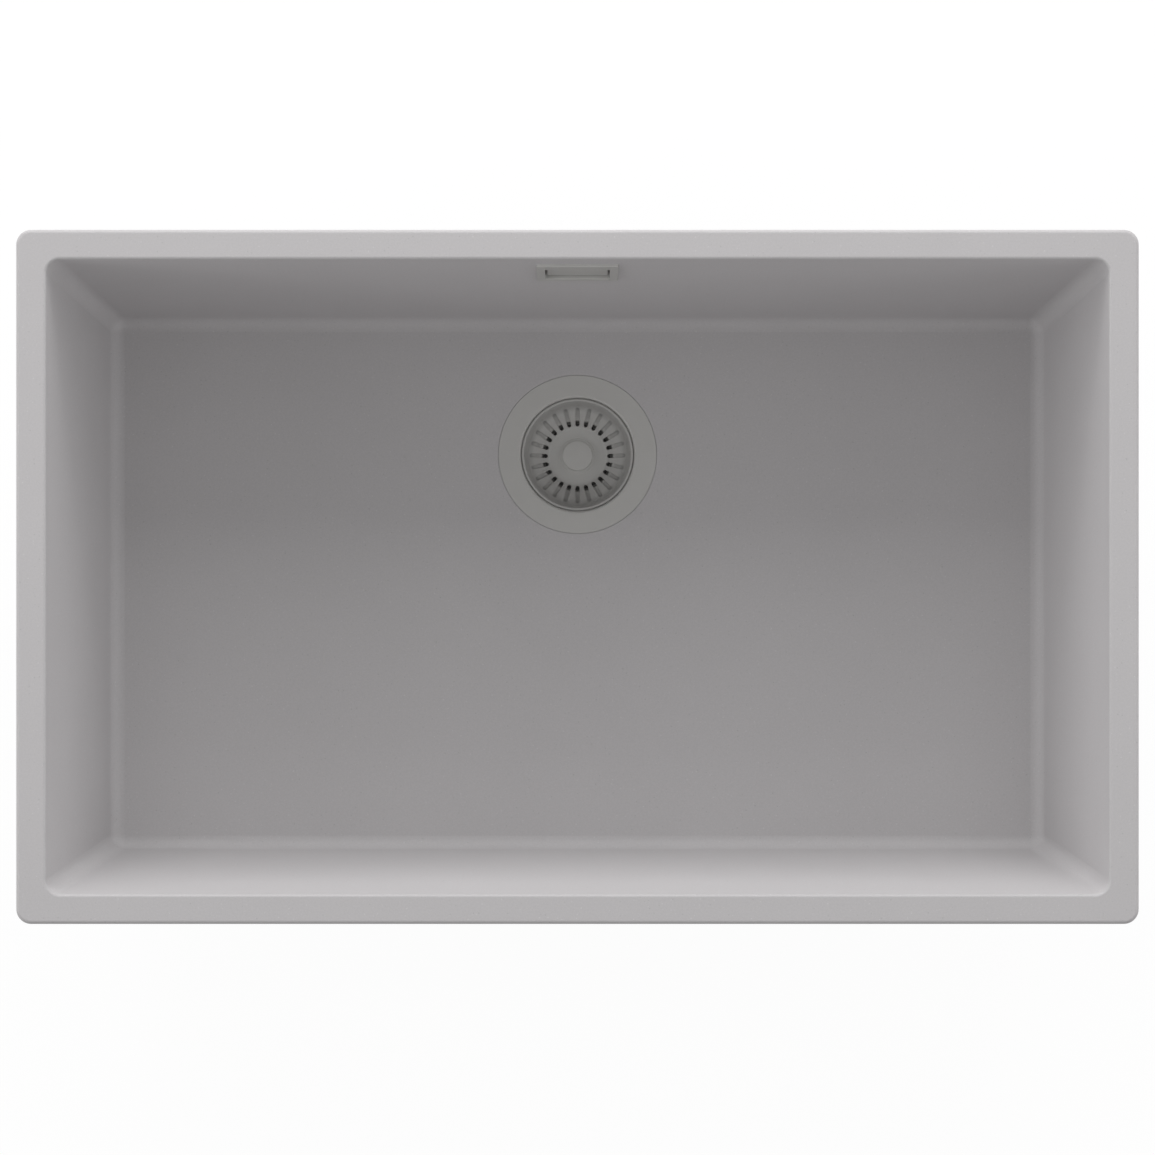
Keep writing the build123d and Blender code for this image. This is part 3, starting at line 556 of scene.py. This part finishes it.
# %% [markdown]
# ## Rubber and moulded plastic
#
# Seals are black rubber, dull, with a dusty bloom. The stopper's seal lies deep in shade under the slots, so
# its rubber is given a lighter grey as painted light, and shows through the inner ends of the slots as dark
# grey and not black. Waste body, hood and pipe are black polypropylene from a spark-eroded mould: a fine even
# pebble on the surface and soft flow marks below it.

# %% Rubber
# the stopper seal's lighter grey is painted light for the shade under the slots
BLACK_RUBBER, PAINTED_LIGHT_RUBBER = (0.02, 0.05), (0.2, 0.27)
BLOOM, BLOOM_SPAN = 7 * MM, (0.35, 0.8)
PORES, PORE_RELIEF = 0.3 * MM, 0.03 * MM
RUBBER_ROUGHNESS, BLOOM_ROUGHNESS = 0.62, 0.25
RUBBER_GLOSS = 0.35


def rubber(name, clean, dusty):
    material, place = new_finish(name)
    bloom = place.noise(BLOOM, 4)
    pores = place.noise(PORES, 2)
    surface(place, {
        "Base Color": bloom.between(*BLOOM_SPAN).tint(grey(clean), grey(dusty, RAW_CAST)),
        "Roughness": RUBBER_ROUGHNESS + bloom * BLOOM_ROUGHNESS,
        "Normal": relief(place, pores, PORE_RELIEF, SOFT_BUMP),
        "Specular IOR Level": RUBBER_GLOSS,
    })
    return material


FINISHES["rubber"] = rubber("rubber", *BLACK_RUBBER)
FINISHES["rubber_painted_light"] = rubber("rubber_painted_light", *PAINTED_LIGHT_RUBBER)
print("finish: rubber, rubber_painted_light")

# %% Moulded plastic
PLASTIC_LEVELS = (0.022, 0.05)
PEBBLE, PEBBLE_RELIEF = 0.5 * MM, 0.02 * MM
FLOW, FLOW_STRETCH = 18 * MM, (1.0, 1.0, 0.25)
PLASTIC_ROUGHNESS, FLOW_ROUGHNESS = 0.42, 0.15
PLASTIC_GLOSS = 0.45


def moulded_plastic():
    material, place = new_finish("moulded_plastic")
    pebble = place.cells(PEBBLE, "Distance")
    flow = (place * FLOW_STRETCH).noise(FLOW, 4)
    surface(place, {
        "Base Color": flow.tint(*shades(PLASTIC_LEVELS)),
        "Roughness": PLASTIC_ROUGHNESS + flow * FLOW_ROUGHNESS,
        "Normal": relief(place, 1 - pebble, PEBBLE_RELIEF, SOFT_BUMP),
        "Specular IOR Level": PLASTIC_GLOSS,
    })
    return material


FINISHES["moulded_plastic"] = moulded_plastic()
print("finish: moulded_plastic")

# %% [markdown]
# ## Finishes on the solids
#
# The record names a material slot for each piece, and most finishes carry those names, so a piece takes the
# finish of its slot. The coated pieces and the stopper's seal have a finish of their own, with painted light
# and shade in its colour.

# %% Dress the solids
OWN_FINISH = {
    "basket_cup": "coated_basket_painted_light",
    "lift_knob": "coated_knob_painted_light",
    "waste_flange": "coated_flange_painted_light",
    "overflow_frame": "coated_plate_painted_light",
    "overflow_panel": "coated_plate_painted_light",
    "stopper_seal": "rubber_painted_light",
}
SLOTS = {piece["node"]: piece["material_slot"] for piece in frame["record"]["subparts"]}


def finish_of(node):
    """The finish that a node shows."""
    return FINISHES[OWN_FINISH.get(node, SLOTS[node])]


for node in SLOTS:
    for slot in nodes[node].material_slots:
        slot.material = finish_of(node)
print("finishes:", list(FINISHES), "on", len(SLOTS), "solids")

# %% [markdown]
# ## The strainer basket
#
# The real basket is pressed from one round of steel sheet: the floor is dished, the wall is raised, 24 slots
# are pierced through the slope, and the rim is curled outward into a bead, so that no raw edge meets a hand.
# A solid with slots cut out of it has knife edges. So the basket is drawn the way it is pressed: first as a
# sheet without thickness, then thickened by Solidify, and last rolled over at its edges by Bevel.
#
# A turned sheet needs only its profile: straight runs joined by bends, then the curl. Heights and radii are
# millimetres here, about the waste's axis.

# %% Profile of the basket
BASKET_RUNS = [(2.56, -223.8, 0.0), (21.0, -223.8, 4.0), (36.0, -211.7, 8.0), (38.88, -202.53, 0.0)]
BEND_STEPS = 8
CURL_CENTRE = (39.4, -202.7)
CURL_RADIUS = 0.55
CURL_TURN = (162, -100)
CURL_STEPS = 20


def pressed_line(runs):
    """Points along straight runs, with a bend at each inner (radius, height, bend) station."""
    line = [Vector(runs[0][:2])]
    for before, here, after in zip(runs, runs[1:], runs[2:]):
        corner = Vector(here[:2])
        back = (Vector(before[:2]) - corner).normalized()
        ahead = (Vector(after[:2]) - corner).normalized()
        half = back.angle(ahead) / 2
        centre = corner + (back + ahead).normalized() * here[2] / sin(half)
        first = corner + back * here[2] / tan(half) - centre
        last = corner + ahead * here[2] / tan(half) - centre
        turn = pi - 2 * half
        for step in range(BEND_STEPS + 1):
            part = turn * step / BEND_STEPS
            line.append(centre + (first * sin(turn - part) + last * sin(part)) / sin(turn))
    return line + [Vector(runs[-1][:2])]


def curl_line():
    """Points over the bead at the rim, from the inside across the top and back under."""
    begin, end = (radians(angle) for angle in CURL_TURN)
    angles = [begin + (end - begin) * step / CURL_STEPS for step in range(CURL_STEPS + 1)]
    return [Vector(CURL_CENTRE) + Vector((cos(angle), sin(angle))) * CURL_RADIUS for angle in angles]


wall_line = pressed_line(BASKET_RUNS)
rim_line = curl_line()
print("basket profile:", len(wall_line) + len(rim_line), "points")

# %% [markdown]
# The slots are the hard part. Each lies in its own sector of 15 degrees, so one patch is drawn from closed
# loops that start as the slot's outline and widen into the sector's outline, and 24 turned copies close the
# ring. Every point of a patch takes its height from the profile at its radius. The floor inside the patches
# and the wall outside them are plain turned rings with points at the same angles, so the three join when
# points that coincide are merged.

# %% Slots of the basket
SLOT_COUNT = 24
SLOT_WIDTH = 3.0
SLOT_REACH = (21.7, 35.0)
PATCH_REACH = (18.8, 36.2)
PATCH_LOOPS = (0.0, 0.12, 0.28, 0.5, 0.75, 1.0)
END_STEPS = 8
SIDE_STEPS = 17


def about_drain(radius, height, angle):
    """A point about the waste's axis, in metres, from millimetres and radians."""
    return Vector((DRAIN.x + radius * cos(angle) * MM, DRAIN.y + radius * sin(angle) * MM, height * MM))


def lay(sheet, loops):
    """Quads between closed loops of equally many points."""
    rows = [[sheet.verts.new(point) for point in loop] for loop in loops]
    for low, high in zip(rows, rows[1:]):
        for i in range(len(low)):
            sheet.faces.new((low[i - 1], low[i], high[i], high[i - 1]))


def height_at(radius):
    """The height of the basket's profile at a radius."""
    last = next(i for i, point in enumerate(wall_line) if point.x >= radius and i)
    low, high = wall_line[last - 1], wall_line[last]
    return low.y + (high.y - low.y) * (radius - low.x) / (high.x - low.x)


def slot_outline():
    """The slot seen from above, as (along, across) points around it."""
    half = SLOT_WIDTH / 2
    near, far = SLOT_REACH[0] + half, SLOT_REACH[1] - half
    out = [(near + (far - near) * i / SIDE_STEPS, -half) for i in range(1, SIDE_STEPS)]
    turns = [pi * i / END_STEPS for i in range(END_STEPS + 1)]
    far_end = [(far + half * sin(turn), -half * cos(turn)) for turn in turns]
    near_end = [(near - half * sin(turn), half * cos(turn)) for turn in turns]
    home = [(along, half) for along, across in reversed(out)]
    return out + far_end + home + near_end


def sector_outline():
    """The sector around a slot, with as many points in the same order."""
    half = pi / SLOT_COUNT
    near, far = PATCH_REACH
    reaches = [near + (far - near) * i / SIDE_STEPS for i in range(1, SIDE_STEPS)]
    turns = [2 * half * i / END_STEPS - half for i in range(END_STEPS + 1)]
    polar = [(reach, -half) for reach in reaches] + [(far, turn) for turn in turns]
    polar += [(reach, half) for reach in reversed(reaches)] + [(near, -turn) for turn in turns]
    return [(reach * cos(turn), reach * sin(turn)) for reach, turn in polar]


def slot_patch(sheet, middle):
    """One sector of the sheet with its slot, about that angle."""
    pairs = [(Vector(inner), Vector(outer)) for inner, outer in zip(slot_outline(), sector_outline())]
    loops = []
    for share in PATCH_LOOPS:
        plan = [inner.lerp(outer, share) for inner, outer in pairs]
        loops.append([about_drain(spot.length, height_at(spot.length), middle + atan2(spot.y, spot.x))
                      for spot in plan])
    lay(sheet, loops)


print("points around each of", SLOT_COUNT, "slots:", len(slot_outline()))

# %% Basket
BASKET_SHEET = 1.0 * MM
SHEET_MERGE = 0.005 * MM
EDGE_ROLL = 0.32 * MM
EDGE_STEPS = 3
EDGE_ANGLE = 50


def pressed_basket():
    sheet = bmesh.new()
    pitch = 2 * pi / SLOT_COUNT
    around = [pi / 2 - pitch / 2 + pitch * i / END_STEPS for i in range(SLOT_COUNT * END_STEPS)]
    near, far = PATCH_REACH
    floor = [point for point in wall_line if point.x < near] + [Vector((near, height_at(near)))]
    wall = [Vector((far, height_at(far)))] + [point for point in wall_line if point.x > far] + rim_line[1:]
    for line in (floor, wall):
        lay(sheet, [[about_drain(point.x, point.y, angle) for angle in around] for point in line])
    for i in range(SLOT_COUNT):
        slot_patch(sheet, pi / 2 + i * pitch)
    bmesh.ops.remove_doubles(sheet, verts=sheet.verts, dist=SHEET_MERGE)
    bmesh.ops.recalc_face_normals(sheet, faces=sheet.faces)
    return sheet


def new_piece(name, sheet, body, node):
    """Turns a drawn mesh into a smooth piece on a body, with the finish of the node it replaces."""
    mesh = bpy.data.meshes.new(name)
    sheet.to_mesh(mesh)
    sheet.free()
    mesh.polygons.foreach_set("use_smooth", [True] * len(mesh.polygons))
    mesh.materials.append(finish_of(node))
    piece = bpy.data.objects.new(name, mesh)
    scene.collection.objects.link(piece)
    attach(piece, body)
    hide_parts(node)
    return piece


basket = new_piece("pressed_basket", pressed_basket(), "basket", "basket_cup")
thick = basket.modifiers.new("sheet", "SOLIDIFY")
thick.thickness = BASKET_SHEET
thick.offset = 0.0
thick.use_even_offset = True
rolled = basket.modifiers.new("edges", "BEVEL")
rolled.width = EDGE_ROLL
rolled.segments = EDGE_STEPS
rolled.limit_method = "ANGLE"
rolled.angle_limit = radians(EDGE_ANGLE)
print("basket sheet:", len(basket.data.polygons), "faces,", SLOT_COUNT, "slots")

# %% [markdown]
# ## The outlet's thread
#
# The trap's nut screws onto the outlet, so the outside of the outlet carries a coarse pipe thread, 11 turns
# to the inch, moulded with flat crests. The solid there is a plain cylinder of the thread's outside size.
# Cutting a helix out of it with a Boolean is slow and leaves ragged edges. Instead, a copy of the solid loses
# the skin of its cylinder, and a threaded skin takes its place: rings about the axis whose radius dips
# between the crests. At both ends the thread runs out to the full radius, and a bridge of faces joins it to
# the old edges, so the body stays closed. Weighted normals keep its flats flat next to the rounded edges.

# %% Shape of a thread
CREST_SHARE, FLANK_SHARE = 0.2, 0.6


def ease(value):
    """0 below 0, 1 above 1 and a soft slope between."""
    value = min(max(value, 0.0), 1.0)
    return value * value * (3 - 2 * value)


def groove(turns):
    """How deep a thread is after so many turns: 0 on its crests, 1 between them."""
    wave = 0.5 - 0.5 * cos(2 * pi * turns)
    return ease((wave - CREST_SHARE) / FLANK_SHARE)


def within(height, low, high, runout):
    """1 between two heights, and 0 beyond them, with soft runs inside both."""
    return ease((height - low) / runout) * ease((high - height) / runout)


print("depth over half a turn:", [round(groove(step / 8), 2) for step in range(5)])

# %% Threaded outlet
OUTLET_RADIUS = 23.9
THREAD_PITCH = 25.4 / 11
THREAD_DEPTH = 1.3
THREAD_SPAN = (0.6, 23.0)
THREAD_RUNOUT = 1.2
ROWS_PER_TURN = 12
THREAD_AROUND = 144
SKIN_TOLERANCE = 0.03
BODY_MERGE = 0.001 * MM
SHARP_ANGLE = 40


def on_outlet(face):
    """True for the upright faces of the outlet's outer skin, which all reach its lower end."""
    foot = (min(vert.co.z for vert in face.verts) - cad_low.z) / MM
    if abs(face.normal.z) > SKIN_TOLERANCE or foot > SKIN_TOLERANCE:
        return False
    reaches = [(vert.co - DRAIN).xy.length / MM for vert in face.verts]
    return all(abs(reach - OUTLET_RADIUS) < SKIN_TOLERANCE for reach in reaches)


def thread_loops(low, high):
    """Rings of points about the outlet, from its lower end to its upper one."""
    rows = round((high - low) / THREAD_PITCH * ROWS_PER_TURN)
    angles = [2 * pi * i / THREAD_AROUND for i in range(THREAD_AROUND)]
    loops = []
    for row in range(1, rows):
        height = (high - low) * row / rows
        inside = within(height, *THREAD_SPAN, THREAD_RUNOUT)
        depths = [groove(height / THREAD_PITCH - angle / (2 * pi)) * inside for angle in angles]
        loops.append([about_drain(OUTLET_RADIUS - THREAD_DEPTH * depth, low + height, angle)
                      for depth, angle in zip(depths, angles)])
    return loops


def threaded_body():
    body = bmesh.new()
    body.from_mesh(nodes["waste_body"].data)
    bmesh.ops.remove_doubles(body, verts=body.verts, dist=BODY_MERGE)
    skin = [face for face in body.faces if on_outlet(face)]
    heights = [vert.co.z / MM for face in skin for vert in face.verts]
    low, high = min(heights), max(heights)
    bmesh.ops.delete(body, geom=skin, context="FACES")
    lay(body, thread_loops(low, high))
    ends = [edge for edge in body.edges if edge.is_boundary]
    middle = (low + high) / 2 * MM
    for upper in (False, True):
        bmesh.ops.bridge_loops(body, edges=[edge for edge in ends if (edge.verts[0].co.z > middle) == upper])
    bmesh.ops.recalc_face_normals(body, faces=body.faces)
    print("outlet:", len(skin), "plain faces gave way to a thread, open edges:",
          sum(edge.is_boundary for edge in body.edges))
    return body


outlet = new_piece("threaded_body", threaded_body(), "sink", "waste_body")
outlet.data.set_sharp_from_angle(angle=radians(SHARP_ANGLE))
flats = outlet.modifiers.new("flats", "WEIGHTED_NORMAL")
flats.mode = "FACE_AREA_WITH_ANGLE"
flats.keep_sharp = True

# %% [markdown]
# ## Threaded inserts
#
# The undermount clips screw into brass inserts that were pressed into the rim from below. Each shows as a
# small ring with a countersunk mouth and an M5 thread. They are turned in one go: loops run down the outside,
# over the mouth and up the bore, where the thread stands inward from the plain bore of the solid. The
# record's two bolt patterns say where the eight sit.

# %% Inserts
INSERT_RADIUS = 3.5
INSERT_EDGE = 0.15
INSERT_LENGTH = 12.0
INSERT_BORE = 2.5
INSERT_MOUTH = 0.35
INSERT_PITCH = 0.8
INSERT_THREAD = 0.38
INSERT_THREADED = 9.0
INSERT_ROWS = 7
INSERT_AROUND = 28
INSERT_MERGE = 0.002 * MM


def insert_places():
    """The middle of each insert's mouth, from the bolt patterns."""
    places = []
    for mount in frame["record"]["mounts"]:
        if mount["kind"] == "bolt_pattern":
            half_x, half_y = (mount["dims"][f"spacing_{axis}_mm"] * MM / 2 for axis in "xy")
            middle = Vector(mount["pos_m"])
            places += [middle + Vector((x, y, 0)) for x in (-half_x, half_x) for y in (-half_y, half_y)]
    return places


def insert_profile(angle):
    """(radius, height above the mouth) points of an insert at that angle."""
    points = [(INSERT_RADIUS, INSERT_LENGTH), (INSERT_RADIUS, INSERT_EDGE)]
    points += [(INSERT_RADIUS - INSERT_EDGE, 0.0), (INSERT_BORE + INSERT_MOUTH, 0.0)]
    rows = round(INSERT_THREADED / INSERT_PITCH * INSERT_ROWS)
    for row in range(rows + 1):
        height = INSERT_MOUTH + (INSERT_THREADED - INSERT_MOUTH) * row / rows
        stand = 1 - groove(height / INSERT_PITCH + angle / (2 * pi))
        stand *= within(height, INSERT_MOUTH, INSERT_THREADED, INSERT_PITCH)
        points.append((INSERT_BORE - INSERT_THREAD * stand, height))
    return points + [(INSERT_BORE, INSERT_LENGTH), (INSERT_RADIUS, INSERT_LENGTH)]


def threaded_inserts():
    rings = bmesh.new()
    angles = [2 * pi * i / INSERT_AROUND for i in range(INSERT_AROUND)]
    profiles = [insert_profile(angle) for angle in angles]
    for place in insert_places():
        lay(rings, [[place + Vector((radius * cos(angle), radius * sin(angle), height)) * MM
                     for (radius, height), angle in zip(loop, angles)] for loop in zip(*profiles)])
    bmesh.ops.remove_doubles(rings, verts=rings.verts, dist=INSERT_MERGE)
    bmesh.ops.recalc_face_normals(rings, faces=rings.faces)
    return rings


inserts = new_piece("threaded_inserts", threaded_inserts(), "sink", "clip_inserts")
inserts.data.set_sharp_from_angle(angle=radians(SHARP_ANGLE))
print("inserts:", len(insert_places()), "with", len(inserts.data.polygons), "faces")
